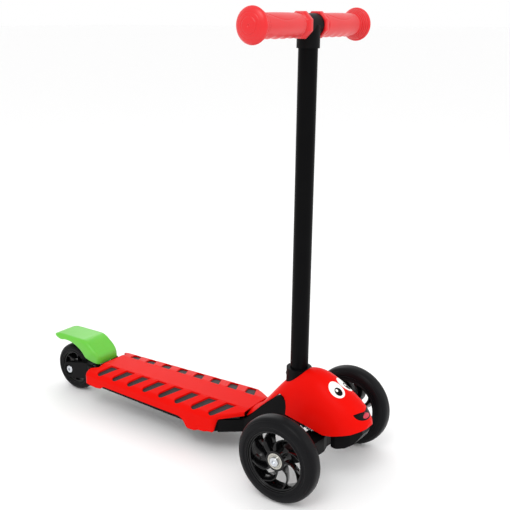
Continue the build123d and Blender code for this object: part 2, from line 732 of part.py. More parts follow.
def brake_nodes():
    pad_z = rear_wheel_d + brake_gap
    plate = block(-10, 10, wheelbase - 16.5, wheelbase + 12.5, pad_z, pad_z + brake_plate_t)
    screws = []
    for y in (wheelbase - 12, wheelbase + 8):
        plate -= rod_z(pad_z - 1, pad_z + 5, screw_r + 0.1, 0, y)
        plate -= rod_z(pad_z - 1, pad_z + brake_screw_head_h, brake_screw_head_r + 0.1, 0, y)
        screws.append(rod_z(pad_z + 0.05, pad_z + brake_screw_head_h, brake_screw_head_r, 0, y)
                      + rod_z(pad_z + 1, pad_z + 9, screw_r, 0, y))
    spring = Rot(0, 90, 0) * Pos(0, 0, -6.5) * coil(brake_pin_r + 1.6, 0.9, 13, 5)
    return {
        "brake_fender": [brake_fender()],
        "brake_plate": [plate],
        "brake_plate_screws": screws,
        "brake_pin": [rod_x(-24, 24, brake_pin_r, brake_pin_y, brake_pin_z)],
        "brake_spring": [Pos(0, brake_pin_y, brake_pin_z) * spring],
    }


def rear_axle_nodes():
    inner = rear_tyre_w / 2 + fork_gap
    outer = inner + fork_t
    seat = outer - axle_head_h - 0.6
    bolt = Pos(-seat, wheelbase, rear_axle_z) * Rot(0, -90, 0) * socket_bolt(2 * seat + nut_h - 2.5)
    nut = Pos(seat, wheelbase, rear_axle_z) * Rot(0, 90, 0) * hex_nut(nut_r, nut_h - 2.2)
    place = Pos(0, wheelbase, rear_axle_z)
    spacers = [place * hub_spacer()]
    for side in SIDES:
        spacers.append(ring_x(side * hub_half, side * inner, axle_r + 2.2, axle_r + fit,
                              wheelbase, rear_axle_z))
    return {"rear_axle_bolt": [bolt], "rear_axle_nut": [nut], "rear_spacers": spacers}


# ------------------------------------------------------------------------------------- T-bar
def column():
    top = bar_height - tee_r + 2
    tube = rod_z(column_bottom, top, column_r, 0, column_y)
    tube -= rod_z(column_bottom - 1, top + 1, column_r - column_wall, 0, column_y)
    tube -= Pos(0, column_y + column_r, button_z) * Rot(90, 0, 0) * Cylinder(button_r + 0.1, 8)
    return tube


def tee_joint():
    """Black moulded tee that joins the column to the handlebar tube."""
    body = rod_x(-tee_half, tee_half, tee_r, column_y, bar_height)
    body += rod_z(bar_height - tee_r - 14, bar_height, column_r + 2.2, 0, column_y)
    body -= rod_z(bar_height - tee_r - 15, bar_height - tee_r + 2, column_r + fit, 0, column_y)
    return body - rod_x(-tee_half - 1, tee_half + 1, bar_r + fit, column_y, bar_height)


def grip(side):
    """Rubber grip with an inner flange and a wide outer flange under a domed cap."""
    tip = bar_width / 2
    flange = tip - 6.5
    start = tee_half + 0.3
    inside_end = tip - grip_end_t
    profile = [(start, bar_r + fit), (start, inner_flange_r - 1), (start + 1, inner_flange_r),
               (start + inner_flange_t - 1, inner_flange_r), (start + inner_flange_t, inner_flange_r - 1),
               (start + inner_flange_t, grip_r - 0.6), (start + 20, grip_r), (70, grip_r + 0.6),
               (104, grip_r), (flange - 3, grip_r), (flange - 3, outer_flange_r - 1.5),
               (flange - 1, outer_flange_r), (flange + 2, outer_flange_r - 0.3),
               (flange + 2.2, outer_flange_r - 3), (tip - 2.6, outer_flange_r - 6), (tip - 0.8, 10.0),
               (tip, 5.0), (tip, 0.0), (inside_end, 0.0), (inside_end, bar_r + fit)]
    body = turned_x(profile)
    if side < 0:
        body = mirror(body, Plane.YZ)
    return Pos(0, column_y, bar_height) * body


def handle_nodes():
    tube_half = bar_width / 2 - grip_end_t - 0.5
    bar = ring_x(-tube_half, tube_half, bar_r, bar_r - bar_wall, column_y, bar_height)
    pieces = {"column_tube": column(), "tee_joint": tee_joint(), "handlebar_tube": bar,
              "right_grip": grip(-1), "left_grip": grip(1)}
    return {name: [stem(piece)] for name, piece in pieces.items()}


def button_nodes():
    """Sprung button that holds the T-bar in its socket; it is pushed in from behind."""
    face = collar_r + button_proud
    flange_top = sqrt((column_r - column_wall) ** 2 - button_flange_r ** 2) - 0.3
    along = stem(Pos(0, column_y, button_z) * Rot(-90, 0, 0))
    body = rod_z(flange_top - button_flange_t, flange_top, button_flange_r)
    body += rod_z(flange_top - 0.5, face, button_r)
    body = fillet(body.edges().filter_by(GeomType.CIRCLE).sort_by(Axis.Z)[-1], 1.2)
    back = -(sqrt((column_r - column_wall) ** 2 - 3.4 ** 2) - 0.3)
    spring = Pos(0, 0, back) * coil(2.8, 0.5, flange_top - button_flange_t - back - 0.05, 7)
    return {"release_button": [along * body], "release_spring": [along * spring]}


# --------------------------------------------------------------------------- fasteners and springs
def head_nodes():
    low = truck_boss_low - washer_t
    bolt = king(low) * Rot(180, 0, 0) * socket_bolt(pivot_block_high - low - 0.5,
                                                    axle_head_r, king_head_h)
    nut = king(pivot_block_high - nut_h) * hex_nut()
    washers = [on_king(low, truck_boss_low - 0.05, 8.5, axle_r + fit),
               on_king(truck_boss_high + 0.05, truck_boss_high + washer_t, 10.0, axle_r + fit)]
    length = spring_high - spring_low + 3
    spring = coil(spring_coil_r, spring_wire_r, length - 0.1, spring_turns)
    nodes = {"steering_bolt": [bolt], "steering_nut": [nut], "steering_washers": washers}
    for side, name in ((-1, "right"), (1, "left")):
        seat = spring_frame(side, spring_low - 1.45, spring_low - 1.45)
        nodes[name + "_steering_spring"] = [seat * spring]
    return nodes


def pan_screw(length):
    """Pan-head screw: head below the X-Y plane, shank above."""
    head = rod_z(-screw_head_h, 0, screw_head_r)
    head = fillet(head.edges().filter_by(GeomType.CIRCLE).sort_by(Axis.Z)[0], 1.2)
    head -= Pos(0, 0, -screw_head_h) * Box(4.2, 1.0, 2.4)
    head -= Pos(0, 0, -screw_head_h) * Box(1.0, 4.2, 2.4)
    return head + rod_z(0, length, screw_r)


def screw_nodes():
    deck = [Pos(x, y, screw_seat_z) * pan_screw(screw_length)
            for x, y in screw_spots()]
    head = [Pos(x, y, plate_z) * pan_screw(z - plate_z - 0.4) for x, y, z in snout_screws()]
    return {"deck_screws": deck, "head_screws": head}


# ------------------------------------------------------------------------------------- assembly
def make_nodes():
    nodes = {"base_frame": [base_frame()], "deck_cover": [deck_cover()], "grip_mat": [grip_mat()],
             "head_cover": [head_cover()], "chin_cover": [chin_cover()]}
    for group in (screw_nodes, handle_nodes, button_nodes, head_nodes, truck_nodes,
                  front_wheel_nodes, rear_wheel_nodes, rear_axle_nodes, brake_nodes):
        nodes.update(group())
    return nodes


def save(nodes):
    os.makedirs("parts", exist_ok=True)
    for name, pieces in nodes.items():
        solids = [Pos(0, front_axle_y, 0) * s for piece in pieces for s in piece.solids()]
        export_step(Compound(children=solids) if len(solids) > 1 else solids[0],
                    f"parts/{name}.step")
        print(name, len(solids), "solid(s)", round(sum(s.volume for s in solids)), "mm3")


save(make_nodes())
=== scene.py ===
# %% [markdown]
# # A child's three-wheel kick scooter
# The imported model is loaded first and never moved: it is the frame that every other piece
# is measured from. Lengths in this lesson are in millimetres, with the front axle over
# y = 0, and `at` turns them into Blender's metres in the frame's own place.

# %% Load the frame
import json
import math
import bmesh
import bpy
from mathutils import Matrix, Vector
from mathutils.bvhtree import BVHTree


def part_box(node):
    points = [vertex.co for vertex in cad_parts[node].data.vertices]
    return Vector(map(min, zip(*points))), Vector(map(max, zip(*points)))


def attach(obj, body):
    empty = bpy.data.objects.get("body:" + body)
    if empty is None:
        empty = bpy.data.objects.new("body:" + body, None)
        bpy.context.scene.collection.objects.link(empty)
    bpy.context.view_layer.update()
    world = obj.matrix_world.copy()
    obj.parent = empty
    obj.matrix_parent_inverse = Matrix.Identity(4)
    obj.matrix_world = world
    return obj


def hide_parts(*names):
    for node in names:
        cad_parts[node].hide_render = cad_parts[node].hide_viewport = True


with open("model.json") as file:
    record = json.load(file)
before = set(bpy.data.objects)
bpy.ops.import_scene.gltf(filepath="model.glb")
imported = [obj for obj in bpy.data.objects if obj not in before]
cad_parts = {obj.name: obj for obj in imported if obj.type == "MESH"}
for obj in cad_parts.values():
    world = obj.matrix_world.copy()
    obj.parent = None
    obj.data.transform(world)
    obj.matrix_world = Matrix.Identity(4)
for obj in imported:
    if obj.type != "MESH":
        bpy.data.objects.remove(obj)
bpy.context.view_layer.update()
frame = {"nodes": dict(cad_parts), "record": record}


wheel_low, wheel_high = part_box("left_tyre")
rear_low, rear_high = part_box("rear_tyre")
front_y = (wheel_low.y + wheel_high.y) / 2 * 1000
track_half = (wheel_low.x + wheel_high.x) / 2 * 1000
wheelbase = (rear_low.y + rear_high.y) / 2 * 1000 - front_y
front_r = (wheel_high.z - wheel_low.z) / 2 * 1000
rear_r = (rear_high.z - rear_low.z) / 2 * 1000


def at(x, y, z):
    """A point in millimetres, measured from the front axle, in the frame's metres."""
    return Vector((x / 1000, (y + front_y) / 1000, z / 1000))


print("wheelbase", round(wheelbase, 1), "track", round(2 * track_half, 1), "wheels", front_r, rear_r)

# %% [markdown]
# ## Studio
# A white floor under a white sky, a large soft key light from ahead on the rider's right, a
# weaker fill from the left and a third light behind, so that black plastic gets an edge of light.

# %% Camera
camera_data = bpy.data.cameras.new("camera")
camera_data.lens = 59.25
camera_data.sensor_width = 36.0
camera = bpy.data.objects.new("camera", camera_data)
camera.location = (-0.91845, -0.75909, 0.6125)
camera.rotation_euler = (math.radians(90 - 15.73), 0, math.radians(-54.82))
bpy.context.scene.collection.objects.link(camera)
bpy.context.scene.camera = camera
print("camera", tuple(camera.location))


# %% Colours and one function for nodes
def hex_color(code):
    """An sRGB hex colour as the linear colour that a shader wants."""
    parts = [int(code[i:i + 2], 16) / 255 for i in (0, 2, 4)]
    return tuple(c / 12.92 if c <= 0.04045 else ((c + 0.055) / 1.055) ** 2.4 for c in parts) + (1.0,)


def node(tree, kind, settings=None, values=None, links=None):
    """Adds a node: settings are its properties, values its inputs, links the sockets that feed it."""
    made = tree.nodes.new(kind)
    for key, value in (settings or {}).items():
        setattr(made, key, value)
    for key, value in (values or {}).items():
        made.inputs[key].default_value = value
    for key, source in (links or {}).items():
        tree.links.new(source, made.inputs[key])
    return made


# %% Floor and lights
def sweep_floor(half=60):
    """A white floor that reaches past the horizon of every view; half is in metres."""
    mesh = bpy.data.meshes.new("floor")
    mesh.from_pydata([(-half, -half, 0), (half, -half, 0), (half, half, 0), (-half, half, 0)], [],
                     [(0, 1, 2, 3)])
    floor = bpy.data.objects.new("floor", mesh)
    bpy.context.scene.collection.objects.link(floor)
    paint = bpy.data.materials.new("white paint, matt")
    paint.use_nodes = True
    shader = paint.node_tree.nodes["Principled BSDF"]
    shader.inputs["Base Color"].default_value = hex_color("FDFDFD")
    shader.inputs["Roughness"].default_value = 0.9
    mesh.materials.append(paint)


def soft_light(name, place, target, size, power):
    """A round lamp that faces its target: places and size in metres, power in watts."""
    data = bpy.data.lights.new(name, "AREA")
    data.shape = "DISK"
    data.size = size
    data.energy = power
    lamp = bpy.data.objects.new(name, data)
    lamp.location = place
    lamp.rotation_euler = (Vector(target) - Vector(place)).to_track_quat("-Z", "Y").to_euler()
    bpy.context.scene.collection.objects.link(lamp)


sweep_floor()
soft_light("key", (-1.7, -0.7, 2.3), (0, 0, 0.1), 1.3, 20)
soft_light("fill", (0.9, -2.2, 1.5), (0, 0, 0.2), 1.6, 7)
soft_light("strip", (1.6, 1.7, 1.4), (0, 0, 0.3), 1.0, 5)
world = bpy.data.worlds.new("studio")
world.use_nodes = True
world.node_tree.nodes["Background"].inputs["Color"].default_value = hex_color("FFFFFF")
world.node_tree.nodes["Background"].inputs["Strength"].default_value = 1.0
bpy.context.scene.world = world
bpy.context.scene.view_settings.view_transform = "Standard"

# %% [markdown]
# ## Finishes
# Each finish is a Principled shader with three layers of pattern in Object coordinates: a slow
# drift of colour, a drift of roughness, and a fine grain that only bends the normal. Pattern
# sizes are real ones in millimetres. The Bevel node rounds the highlight along the edges of
# the frame's own nodes, as a mould or a deburring wheel does.


# %% One recipe for moulded, painted and ground surfaces
def finish(name, light, dark, rough, drift_mm=30.0, grain_mm=1.0, grain_high=0.02, edge_mm=0.5,
           rough_swing=0.05, **constants):
    """A finish named for its real material; constants go on the shader's own sockets."""
    made = bpy.data.materials.new(name)
    made.use_nodes = True
    tree = made.node_tree
    shader = tree.nodes["Principled BSDF"]
    where = node(tree, "ShaderNodeTexCoord")
    drift = node(tree, "ShaderNodeTexNoise", values={"Scale": 1000 / drift_mm, "Detail": 3.0},
                 links={"Vector": where.outputs["Object"]})
    tone = node(tree, "ShaderNodeMix", {"data_type": "RGBA"}, links={"Factor": drift.outputs["Fac"]})
    tone.inputs["A"].default_value = hex_color(dark)
    tone.inputs["B"].default_value = hex_color(light)
    tree.links.new(tone.outputs["Result"], shader.inputs["Base Color"])
    smear = node(tree, "ShaderNodeTexNoise", values={"Scale": 1000 / (drift_mm * 0.4), "Detail": 5.0},
                 links={"Vector": where.outputs["Object"]})
    level = node(tree, "ShaderNodeMapRange", links={"Value": smear.outputs["Fac"]},
                 values={"To Min": rough - rough_swing, "To Max": rough + rough_swing})
    tree.links.new(level.outputs["Result"], shader.inputs["Roughness"])
    grain = node(tree, "ShaderNodeTexNoise", values={"Scale": 1000 / grain_mm, "Detail": 2.0},
                 links={"Vector": where.outputs["Object"]})
    edge = node(tree, "ShaderNodeBevel", {"samples": 4}, values={"Radius": edge_mm / 1000})
    bump = node(tree, "ShaderNodeBump", values={"Strength": 1.0, "Distance": grain_high / 1000},
                links={"Height": grain.outputs["Fac"], "Normal": edge.outputs["Normal"]})
    tree.links.new(bump.outputs["Normal"], shader.inputs["Normal"])
    for key, value in constants.items():
        shader.inputs[key.replace("_", " ").title().replace("Ior", "IOR")].default_value = value
    return made


# %% Moulded plastics
# ABS from a polished mould: a deep even colour, a low reflection, and a faint orange peel.
red_abs = finish("ABS, red, polished mould", "E3120A", "DA0C06", 0.34, drift_mm=60, grain_mm=5.0,
                 grain_high=0.04, ior=1.53, specular_ior_level=0.03)
# Glass-filled nylon from a spark-eroded mould: satin, with a grain like fine leather.
black_nylon = finish("nylon, black, spark-eroded mould", "0E0E0F", "080809", 0.42, grain_mm=0.9,
                     grain_high=0.04, ior=1.53, specular_ior_level=0.06)
# Gloss nylon for the wheel bodies: harder shine, so that the blades catch the light.
wheel_nylon = finish("nylon, black, polished mould", "0C0C0D", "070708", 0.16, grain_mm=3.0,
                     grain_high=0.02, ior=1.53, specular_ior_level=0.25)
# Polypropylene is waxy: softer highlights, a little light scatters under the skin.
green_pp = finish("polypropylene, green, satin mould", "67C537", "5CBA2F", 0.36, drift_mm=50,
                  grain_mm=1.2, grain_high=0.02, ior=1.49, subsurface_weight=0.08,
                  subsurface_scale=0.004)
acetal = finish("acetal, natural", "DCDAD0", "D2CFC4", 0.35)
print("plastics", red_abs.name, black_nylon.name, wheel_nylon.name, green_pp.name)

# %% Rubbers
# Cast polyurethane tyres: almost smooth, dark grey, with a soft wide highlight.
polyurethane = finish("polyurethane, cast, dark grey", "111113", "0C0C0E", 0.38, grain_mm=1.4,
                      grain_high=0.03, ior=1.5, specular_ior_level=0.1)
# The tread mat is calendered rubber: matt, dark grey, with a coarse grain.
mat_rubber = finish("rubber, calendered, black", "2C2C2D", "1B1B1C", 0.7, grain_mm=1.6, grain_high=0.25,
                    ior=1.52)
# Thermoplastic rubber of the grips: satin, with a sheen where hands polish it.
grip_rubber = finish("thermoplastic rubber, red", "DE1119", "CE0A12", 0.36, drift_mm=40, grain_mm=1.2,
                     grain_high=0.03, ior=1.5, sheen_weight=0.15, sheen_roughness=0.4)
print("rubbers", polyurethane.name, mat_rubber.name, grip_rubber.name)

# %% Metals
# Powder coat flows before it sets, and leaves a fine orange peel of about 1.5 mm.
powder_coat = finish("steel, black powder coat", "0C0C0D", "070708", 0.3, grain_mm=1.5, grain_high=0.03,
                     ior=1.5, specular_ior_level=0.04)
# Zinc plate on turned steel: bright, slightly blue, with soft smears from the bath. Drawn
# spring wire is greyer, and ground bearing steel is smoother and a little warmer.
zinc = finish("steel, zinc plated", "D4D7DB", "B9BCC1", 0.24, drift_mm=4, grain_mm=0.8, metallic=1.0,
              edge_mm=0.25)
spring_wire = finish("spring steel, drawn", "9C9DA1", "7F8085", 0.3, drift_mm=3, grain_mm=0.6,
                     metallic=1.0, edge_mm=0.1)
ground_steel = finish("bearing steel, ground", "C2C0B8", "A9A79F", 0.14, drift_mm=3, grain_mm=0.5,
                      metallic=1.0, edge_mm=0.15)
print("metals", powder_coat.name, zinc.name, ground_steel.name)

# %% [markdown]
# ## The frame's own nodes
# Fasteners, bearings, the tube and the black chassis are already the right shape, so they stay
# and only get their finish. Other nodes are replaced further down.

# %% Finishes by the record's slots
slot_finish = {
    "black_nylon": black_nylon, "red_abs": red_abs, "green_pp": green_pp, "mat_rubber": mat_rubber,
    "grip_rubber": grip_rubber, "painted_steel": powder_coat, "zinc_steel": zinc,
    "spring_steel": spring_wire, "bearing_steel": ground_steel, "wheel_core": wheel_nylon,
    "polyurethane": polyurethane, "acetal": acetal}
slot_of = {part["node"]: part["material_slot"] for part in frame["record"]["subparts"]}
for name, made in frame["nodes"].items():
    made.data.materials.clear()
    made.data.materials.append(slot_finish[slot_of[name]])
print(len(frame["nodes"]), "nodes finished")

# %% [markdown]
# ## Turned and lofted shapes
# Tyres, rims and grips are shapes turned about an axis: an outline of (x, radius) points is
# eased at its corners, as every moulded edge is, and swept round. `swell` lets a turned shape
# leave the round where a hand or a mould does, such as the flats of an octagon.


# %% Helpers for turned shapes
def eased(outline, radius=0.4, closed=False, steps=3):
    """The outline with a short curve at each corner; a third number is that corner's own size."""
    soft = []
    for i, corner in enumerate(outline):
        if not closed and i in (0, len(outline) - 1):
            soft.append((corner[0], corner[1]))
            continue
        here = Vector(corner[:2])
        back = Vector(outline[i - 1][:2]) - here
        on = Vector(outline[(i + 1) % len(outline)][:2]) - here
        cut = min(corner[2] if len(corner) > 2 else radius, back.length * 0.45, on.length * 0.45)
        start, end = here + back.normalized() * cut, here + on.normalized() * cut
        for k in range(steps + 1):
            t = k / steps
            point = start * (1 - t) ** 2 + here * (2 * t * (1 - t)) + end * t ** 2
            soft.append((point.x, point.y))
    return soft


def turned(outline, place, steps=96, closed=False, swell=None):
    """Points and faces of an outline swept round the local x axis."""
    points, rows = [], []
    for x, r in outline:
        if r < 1e-4:
            rows.append([len(points)] * steps)
            points.append(place(x, 0, 0))
            continue
        rows.append(list(range(len(points), len(points) + steps)))
        for k in range(steps):
            turn = math.tau * k / steps
            reach = r + (swell(x, r, turn) if swell else 0)
            points.append(place(x, reach * math.cos(turn), reach * math.sin(turn)))
    return points, stitch(rows, True, closed)


def stitch(rows, round_columns, round_rows):
    """Quads between rows of point numbers, with triangles where a row closes to a pole."""
    faces = []
    for i in range(len(rows) if round_rows else len(rows) - 1):
        low, high = rows[i], rows[(i + 1) % len(rows)]
        for k in range(len(low) if round_columns else len(low) - 1):
            ring = [low[k], low[(k + 1) % len(low)], high[(k + 1) % len(low)], high[k]]
            ring = [p for j, p in enumerate(ring) if p != ring[j - 1]]
            if len(ring) > 2:
                faces.append(ring)
    return faces


def piece(name, points, faces, made_of, crease=35):
    """A mesh object in its place, with doubles merged and faces turned outwards."""
    mesh = bpy.data.meshes.new(name)
    mesh.from_pydata([tuple(p) for p in points], [], faces)
    shape = bmesh.new()
    shape.from_mesh(mesh)
    bmesh.ops.remove_doubles(shape, verts=shape.verts, dist=1e-6)
    bmesh.ops.recalc_face_normals(shape, faces=shape.faces)
    shape.to_mesh(mesh)
    shape.free()
    mesh.shade_smooth()
    mesh.set_sharp_from_angle(angle=math.radians(crease))
    mesh.materials.append(made_of)
    made = bpy.data.objects.new(name, mesh)
    bpy.context.scene.collection.objects.link(made)
    return made


def settle(made, body, slot, *stands_for):
    """Says which body a finished piece rides on, and which nodes it stands for."""
    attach(made, body)
    if stands_for:
        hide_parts(*stands_for)
    print(made.name, len(made.data.polygons), "faces, rides on", body)


# %% [markdown]
# ## Wheels
# Each wheel is a glossy nylon body with curved blades, and a tyre cast round it. The rim and
# the hub are turned. The blades repeat round the hub, so Geometry Nodes place them: one blade
# is modelled, and the tree sets it out on a ring as many times as the wheel has blades.


# %% Places on the wheels
def wheel_place(side):
    """Local wheel coordinates, x outwards, to the frame; the right wheel is the left turned half round."""
    return lambda x, y, z: at(side * (track_half + x), side * y, front_r + z)


def rear_place(x, y, z):
    return at(x, wheelbase + y, rear_r + z)


def both_sides(outer_half):
    """A closed outline from its outer half, mirrored to the inner side."""
    return outer_half + [(-p[0], *p[1:]) for p in reversed(outer_half)]


# %% Tyres
def tyre_outline(wheel_r, rim_r, half):
    """Tread, the fine line where the mould parts, and the step beside the rim."""
    deep = wheel_r - rim_r
    return eased(both_sides([
        (0.3 * half, wheel_r, 2.5), (0.62 * half, wheel_r - 0.07 * deep, 2.0),
        (0.8 * half, wheel_r - 0.2 * deep, 0.5), (0.8 * half, wheel_r - 0.235 * deep, 0.1),
        (0.87 * half, wheel_r - 0.25 * deep, 0.4), (0.96 * half, wheel_r - 0.42 * deep, 1.2),
        (half, wheel_r - 0.58 * deep, 1.0), (half, rim_r + 0.32 * deep, 0.3),
        (half - 0.9, rim_r + 0.29 * deep, 0.2), (half - 0.9, rim_r + 0.1 * deep, 0.2),
        (half - 0.2, rim_r + 0.08 * deep, 0.2), (half - 0.2, rim_r + 0.04, 0.2)]), closed=True)


front_rim, rear_rim = 42.4, 28.0
tyre_half, rear_tyre_half = (wheel_high.x - wheel_low.x) * 500, (rear_high.x - rear_low.x) * 500
for side, name in ((-1, "right"), (1, "left")):
    made = piece(name + "_tyre_cast", *turned(tyre_outline(front_r, front_rim, tyre_half),
                                              wheel_place(side), 144, True), polyurethane)
    settle(made, name + "_wheel", "polyurethane", name + "_tyre")
made = piece("rear_tyre_cast", *turned(tyre_outline(rear_r, rear_rim, rear_tyre_half), rear_place, 120, True),
             polyurethane)
settle(made, "rear_wheel", "polyurethane", "rear_tyre")


# %% Rim and hub of a wheel body
def rim_outline(rim_r, half):
    return eased(both_sides([
        (half - 1.0, rim_r, 0.3), (half - 0.8, rim_r - 1.4, 0.6), (half - 3.2, rim_r - 2.2, 0.5),
        (half - 4.0, rim_r - 3.8, 0.8), (0.5, rim_r - 4.2, 2.0)]), closed=True)


def hub_outline(hub_half=9.2, hub_r=14.2, seat_r=11.06, seat_deep=7.0):
    return eased(both_sides([
        (1.0, hub_r - 1.2, 2.0), (hub_half - 3.0, hub_r - 0.4, 1.0), (hub_half - 0.6, hub_r, 0.4),
        (hub_half, hub_r - 0.6, 0.4), (hub_half, seat_r + 0.5, 0.2), (hub_half - 0.4, seat_r, 0.1),
        (hub_half - seat_deep, seat_r, 0.1), (hub_half - seat_deep, 7.9, 0.2)]), closed=True)


# %% One blade of a wheel
def blade(name, hub_r, rim_r, half_w, sweep, lean_mm, thick, made_of):
    """A turbine blade about the origin: it curves back as it goes out, and leans across its width."""
    rows, points = [], []
    for i in range(17):
        share = i / 16
        r = hub_r + (rim_r - hub_r) * share
        middle = math.radians(-sweep * (0.35 * share + 0.65 * share ** 2))
        lean = lean_mm * (0.35 + 0.65 * math.sin(math.pi * min(share * 1.15, 1.0) / 1.15))
        width = thick * (1.25 - 0.5 * math.sin(math.pi * share))
        row = []
        for x, y in ((-1, -0.55), (-0.93, -1), (0, -1), (0.93, -1), (1, -0.55),
                     (1, 0.55), (0.93, 1), (0, 1), (-0.93, 1), (-1, 0.55)):
            across = lean * x + width / 2 * y
            turn = middle + across / r
            row.append(len(points))
            points.append((x * half_w / 1000, r * math.cos(turn) / 1000, r * math.sin(turn) / 1000))
        rows.append(row)
    faces = stitch(rows, True, False) + [rows[0], rows[-1]]
    return piece(name, points, faces, made_of, 50)


# %% Trees that repeat a part
def new_tree(name, **inputs):
    """A Geometry Nodes tree with these inputs and a Material, and what they give."""
    tree = bpy.data.node_groups.new(name, "GeometryNodeTree")
    for key, kind in {**inputs, "Material": "Material"}.items():
        tree.interface.new_socket(key, in_out="INPUT", socket_type="NodeSocket" + kind)
    tree.interface.new_socket("Geometry", in_out="OUTPUT", socket_type="NodeSocketGeometry")
    return tree, node(tree, "NodeGroupInput").outputs


def copies_on(tree, given, spots, **links):
    """Ends a tree: a copy of Part on each spot, made real, in the Material."""
    shape = node(tree, "GeometryNodeObjectInfo", links={"Object": given["Part"]})
    copies = node(tree, "GeometryNodeInstanceOnPoints",
                  links={"Points": spots, "Instance": shape.outputs["Geometry"], **links})
    real = node(tree, "GeometryNodeRealizeInstances", links={"Geometry": copies.outputs["Instances"]})
    done = node(tree, "GeometryNodeSetMaterial",
                links={"Geometry": real.outputs["Geometry"], "Material": given["Material"]})
    node(tree, "NodeGroupOutput", links={"Geometry": done.outputs["Geometry"]})


# %% A ring of parts, by Geometry Nodes
def ring_tree():
    """Count copies of Part round the x axis through Centre, turned by Turn about z."""
    tree, given = new_tree("ring of parts", Count="Int", Part="Object", Centre="Vector", Turn="Float")
    spots = node(tree, "GeometryNodePoints", links={"Count": given["Count"], "Position": given["Centre"]})
    number = node(tree, "GeometryNodeInputIndex")
    step = node(tree, "ShaderNodeMath", {"operation": "DIVIDE"}, {0: math.tau}, {1: given["Count"]})
    angle = node(tree, "ShaderNodeMath", {"operation": "MULTIPLY"},
                 links={0: number.outputs["Index"], 1: step.outputs["Value"]})
    euler = node(tree, "ShaderNodeCombineXYZ", links={"X": angle.outputs["Value"], "Z": given["Turn"]})
    copies_on(tree, given, spots.outputs["Points"], Rotation=euler.outputs["Vector"])
    return tree


def grown(name, tree, inputs, made_of):
    """Runs a tree on an empty mesh and keeps its result as a plain mesh."""
    made = bpy.data.objects.new(name, bpy.data.meshes.new(name))
    bpy.context.scene.collection.objects.link(made)
    modifier = made.modifiers.new(tree.name, "NODES")
    modifier.node_group = tree
    for item in tree.interface.items_tree:
        if item.in_out == "INPUT":
            modifier[item.identifier] = made_of if item.name == "Material" else inputs[item.name]
    result = bpy.data.meshes.new_from_object(made.evaluated_get(bpy.context.evaluated_depsgraph_get()))
    made.modifiers.clear()
    made.data = result
    result.name = name
    result.set_sharp_from_angle(angle=math.radians(50))
    return made


ring_of_parts = ring_tree()
print(ring_of_parts.name, [item.name for item in ring_of_parts.interface.items_tree])


# %% Wheel bodies
# Pressed steel shields close the two bearings between their rings.
shield_outline = [(8.85, 6.1), (8.95, 6.3), (8.95, 7.1), (8.6, 7.4), (8.6, 8.3), (8.95, 8.6), (8.95, 9.05),
                  (8.3, 9.05), (8.3, 6.1)]


def wheel_body(name, place, rim_r, half, count, made_blade, centre, turn):
    """Rim, hub, the shields of both bearings, and a ring of blades."""
    rim = piece(name + "_rim", *turned(rim_outline(rim_r, half), place, 120, True), wheel_nylon)
    settle(rim, name, "wheel_core", name + "_core")
    hub = piece(name + "_hub", *turned(hub_outline(), place, 72, True), wheel_nylon)
    settle(hub, name, "wheel_core")
    inner, outer = [turned(eased([(s * x, r) for x, r in shield_outline], 0.1, True, 2), place, 64, True)
                    for s in (-1, 1)]
    faces = inner[1] + [[p + len(inner[0]) for p in face] for face in outer[1]]
    shields = piece(name + "_bearing_shields", inner[0] + outer[0], faces, ground_steel)
    settle(shields, name, "bearing_steel")
    ring = grown(name + "_blades", ring_of_parts,
                 {"Count": count, "Part": made_blade, "Centre": centre, "Turn": turn}, wheel_nylon)
    settle(ring, name, "wheel_core")


front_count, rear_count = 8, 6
front_blade = blade("front blade", hub_r=13.2, rim_r=38.9, half_w=8.2, sweep=32, lean_mm=4.4, thick=3.0,
                    made_of=wheel_nylon)
rear_blade = blade("rear blade", hub_r=13.2, rim_r=24.6, half_w=7.4, sweep=20, lean_mm=2.6, thick=3.0,
                   made_of=wheel_nylon)
for side, name in ((-1, "right_wheel"), (1, "left_wheel")):
    wheel_body(name, wheel_place(side), front_rim, tyre_half, front_count, front_blade,
               at(side * track_half, 0, front_r), 0.0 if side > 0 else math.pi)
wheel_body("rear_wheel", rear_place, rear_rim, rear_tyre_half, rear_count, rear_blade,
           at(0, wheelbase, rear_r), 0.0)
bpy.data.objects.remove(front_blade)
bpy.data.objects.remove(rear_blade)

# %% [markdown]
# ## Grips
# Each grip is one soft moulding: an octagonal flange beside the tee, a waisted handle with
# finger swells underneath and a panel line on top, stepped rings, and a domed mushroom cap that
# keeps a falling bar from bruising anyone. The stepped rings repeat, so a second tree makes them.

# %% Place on the leaning bar
bar_lean, lean_from_y, lean_from_z, bar_z = math.radians(0.8), 32.3, 110.0, 605.2


def on_bar(side):
    """Local grip coordinates, x outwards, to the frame: the bar leans forward with its column."""
    def place(x, y, z):
        up = bar_z + z - lean_from_z
        return at(side * x, lean_from_y + y * math.cos(bar_lean) - up * math.sin(bar_lean),
                  lean_from_z + y * math.sin(bar_lean) + up * math.cos(bar_lean))
    return place


